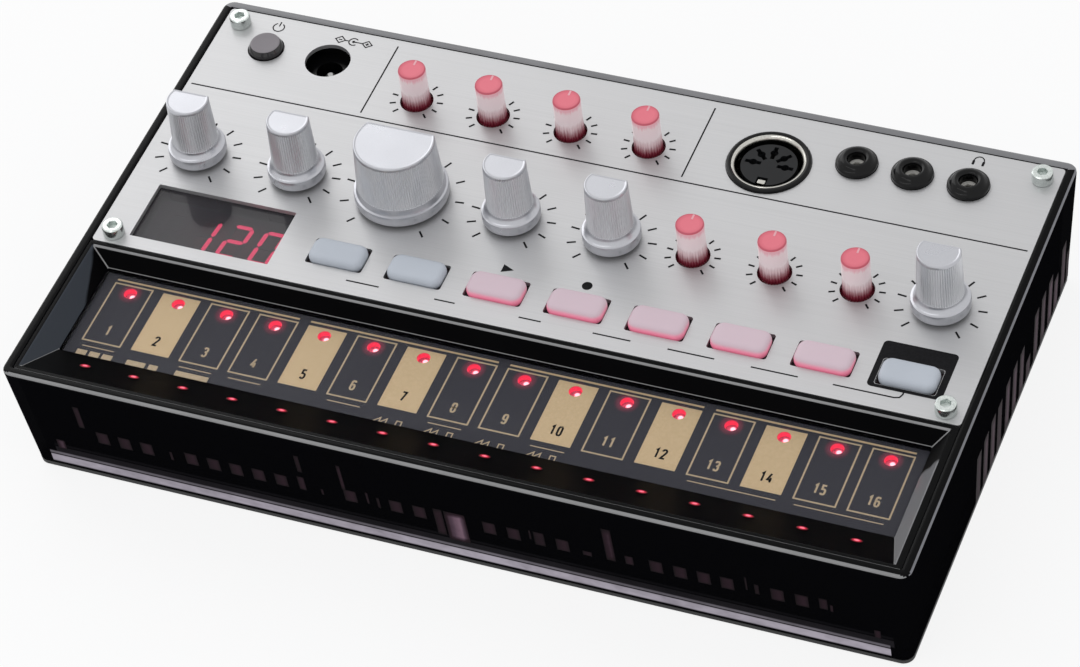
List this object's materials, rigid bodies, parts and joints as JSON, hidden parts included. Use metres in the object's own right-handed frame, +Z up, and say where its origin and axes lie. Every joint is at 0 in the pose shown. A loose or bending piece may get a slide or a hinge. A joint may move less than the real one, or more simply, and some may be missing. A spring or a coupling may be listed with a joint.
{
  "type": "bass synthesizer",
  "caption": "Compact battery desktop bass synthesizer: tapered smoke case, aluminium panel with dials, rubber buttons, segment display, round and 3.5 mm sockets, sunken touch keyboard.",
  "frame": {"origin": "middle of the footprint, on the table", "axes": "+X to the player's right, +Y to the back where the sockets are, +Z up"},
  "size_m": [0.193, 0.1148, 0.0463],
  "materials": {
    "smoke_shell": "smoke translucent moulding, satin",
    "black_base": "fine texture",
    "panel": "fine brushed, clear anodised",
    "cells": "metal cans in a plain printed sleeve",
    "spring_steel": "nickel plated",
    "basket": "zinc and black",
    "cone": "treated paper",
    "board": "solder mask",
    "clear_plate": "clear polished acrylic",
    "key_film": "printed in gold",
    "red_light": "lit red",
    "display": "dark face, lit red segments",
    "window": "dark smoke",
    "socket_plastic": "moulded",
    "socket_metal": "nickel plated",
    "switch_body": "moulded",
    "lit_rubber": "translucent silicone, lit red from below",
    "grey_rubber": "translucent silicone, satin, unlit",
    "power_cap": "satin grey",
    "knob_metal": "satin, turned",
    "shaft_metal": "turned",
    "clear_knob": "frosted translucent, lit red",
    "screw": "zinc plated",
    "feet": "soft pads"
  },
  "bodies": {
    "chassis": {"top_case": "smoke_shell", "bottom_case": "black_base", "control_panel": "panel", "battery_cells": "cells", "battery_contacts": "spring_steel", "speaker_basket": "basket", "speaker_magnet": "basket", "speaker_cone": "cone", "main_board": "board", "key_board": "board", "touch_plate": "clear_plate", "key_film": "key_film", "key_leds": "red_light", "knob_leds": "red_light", "display_module": "display", "display_window": "window", "din_socket_body": "socket_plastic", "din_insulator": "socket_plastic", "dc_socket": "socket_plastic", "sync_in_jack": "socket_plastic", "sync_out_jack": "socket_plastic", "phones_jack": "socket_plastic", "din_socket_shield": "socket_metal", "din_contacts": "socket_metal", "dc_pin": "socket_metal", "power_switch": "switch_body", "tact_switches": "switch_body", "rotary_pots": "switch_body", "panel_screws": "screw", "case_screws": "screw", "feet": "feet"},
    "cutoff_dial": {"cutoff_knob": "knob_metal", "cutoff_shaft": "shaft_metal"},
    "octave_dial": {"octave_knob": "knob_metal", "octave_shaft": "shaft_metal"},
    "peak_dial": {"peak_knob": "knob_metal", "peak_shaft": "shaft_metal"},
    "lfo_rate_dial": {"lfo_rate_knob": "knob_metal", "lfo_rate_shaft": "shaft_metal"},
    "lfo_depth_dial": {"lfo_depth_knob": "knob_metal", "lfo_depth_shaft": "shaft_metal"},
    "volume_dial": {"volume_knob": "knob_metal", "volume_shaft": "shaft_metal"},
    "tempo_dial": {"tempo_knob": "clear_knob"},
    "attack_dial": {"attack_knob": "clear_knob"},
    "decay_dial": {"decay_knob": "clear_knob"},
    "sweep_dial": {"sweep_knob": "clear_knob"},
    "pitch_1_dial": {"pitch_1_knob": "clear_knob"},
    "pitch_2_dial": {"pitch_2_knob": "clear_knob"},
    "pitch_3_dial": {"pitch_3_knob": "clear_knob"},
    "function_key": {"function_button": "grey_rubber"},
    "mute_3_key": {"mute_3_button": "lit_rubber"},
    "mute_2_key": {"mute_2_button": "lit_rubber"},
    "mute_1_key": {"mute_1_button": "lit_rubber"},
    "record_key": {"record_button": "lit_rubber"},
    "play_key": {"play_button": "lit_rubber"},
    "step_key": {"step_button": "grey_rubber"},
    "memory_key": {"memory_button": "grey_rubber"},
    "power_key": {"power_button": "power_cap"},
    "cover": {"battery_cover": "black_base"}
  },
  "joints": [
    {"name": "octave_turn", "type": "hinge", "parent": "chassis", "child": "octave_dial", "pos_m": [-0.0827, 0.01165, 0.0311], "axis": [0, 0, 1], "range_deg": [-140, 140]},
    {"name": "peak_turn", "type": "hinge", "parent": "chassis", "child": "peak_dial", "pos_m": [-0.0597, 0.01165, 0.0311], "axis": [0, 0, 1], "range_deg": [-140, 140]},
    {"name": "cutoff_turn", "type": "hinge", "parent": "chassis", "child": "cutoff_dial", "pos_m": [-0.0357, 0.01165, 0.0311], "axis": [0, 0, 1], "range_deg": [-140, 140]},
    {"name": "lfo_rate_turn", "type": "hinge", "parent": "chassis", "child": "lfo_rate_dial", "pos_m": [-0.0112, 0.01165, 0.0311], "axis": [0, 0, 1], "range_deg": [-140, 140]},
    {"name": "lfo_depth_turn", "type": "hinge", "parent": "chassis", "child": "lfo_depth_dial", "pos_m": [0.01095, 0.01165, 0.0311], "axis": [0, 0, 1], "range_deg": [-140, 140]},
    {"name": "volume_turn", "type": "hinge", "parent": "chassis", "child": "volume_dial", "pos_m": [0.08115, 0.01165, 0.0311], "axis": [0, 0, 1], "range_deg": [-140, 140]},
    {"name": "tempo_turn", "type": "hinge", "parent": "chassis", "child": "tempo_dial", "pos_m": [-0.0437, 0.03885, 0.0287], "axis": [0, 0, 1], "range_deg": [-140, 140]},
    {"name": "attack_turn", "type": "hinge", "parent": "chassis", "child": "attack_dial", "pos_m": [-0.02615, 0.03885, 0.0287], "axis": [0, 0, 1], "range_deg": [-140, 140]},
    {"name": "decay_turn", "type": "hinge", "parent": "chassis", "child": "decay_dial", "pos_m": [-0.0086, 0.03885, 0.0287], "axis": [0, 0, 1], "range_deg": [-140, 140]},
    {"name": "sweep_turn", "type": "hinge", "parent": "chassis", "child": "sweep_dial", "pos_m": [0.00895, 0.03885, 0.0287], "axis": [0, 0, 1], "range_deg": [-140, 140]},
    {"name": "pitch_1_turn", "type": "hinge", "parent": "chassis", "child": "pitch_1_dial", "pos_m": [0.0285, 0.01165, 0.0287], "axis": [0, 0, 1], "range_deg": [-140, 140]},
    {"name": "pitch_2_turn", "type": "hinge", "parent": "chassis", "child": "pitch_2_dial", "pos_m": [0.04605, 0.01165, 0.0287], "axis": [0, 0, 1], "range_deg": [-140, 140]},
    {"name": "pitch_3_turn", "type": "hinge", "parent": "chassis", "child": "pitch_3_dial", "pos_m": [0.0636, 0.01165, 0.0287], "axis": [0, 0, 1], "range_deg": [-140, 140]},
    {"name": "function_press", "type": "slide", "parent": "chassis", "child": "function_key", "axis": [0, 0, -1], "range_m": [0, 0.0008], "stiffness_N_per_m": 800, "springref_m": -0.0003},
    {"name": "mute_3_press", "type": "slide", "parent": "chassis", "child": "mute_3_key", "axis": [0, 0, -1], "range_m": [0, 0.0008], "stiffness_N_per_m": 800, "springref_m": -0.0003},
    {"name": "mute_2_press", "type": "slide", "parent": "chassis", "child": "mute_2_key", "axis": [0, 0, -1], "range_m": [0, 0.0008], "stiffness_N_per_m": 800, "springref_m": -0.0003},
    {"name": "mute_1_press", "type": "slide", "parent": "chassis", "child": "mute_1_key", "axis": [0, 0, -1], "range_m": [0, 0.0008], "stiffness_N_per_m": 800, "springref_m": -0.0003},
    {"name": "record_press", "type": "slide", "parent": "chassis", "child": "record_key", "axis": [0, 0, -1], "range_m": [0, 0.0008], "stiffness_N_per_m": 800, "springref_m": -0.0003},
    {"name": "play_press", "type": "slide", "parent": "chassis", "child": "play_key", "axis": [0, 0, -1], "range_m": [0, 0.0008], "stiffness_N_per_m": 800, "springref_m": -0.0003},
    {"name": "step_press", "type": "slide", "parent": "chassis", "child": "step_key", "axis": [0, 0, -1], "range_m": [0, 0.0008], "stiffness_N_per_m": 800, "springref_m": -0.0003},
    {"name": "memory_press", "type": "slide", "parent": "chassis", "child": "memory_key", "axis": [0, 0, -1], "range_m": [0, 0.0008], "stiffness_N_per_m": 800, "springref_m": -0.0003},
    {"name": "power_press", "type": "slide", "parent": "chassis", "child": "power_key", "axis": [0, 0, -1], "range_m": [0, 0.0015], "stiffness_N_per_m": 600, "springref_m": -0.0005},
    {"name": "cover_hinge", "type": "hinge", "parent": "chassis", "child": "cover", "pos_m": [0.022, -0.0179, 0.0012], "axis": [-1, 0, 0], "range_deg": [0, 60]}
  ]
}
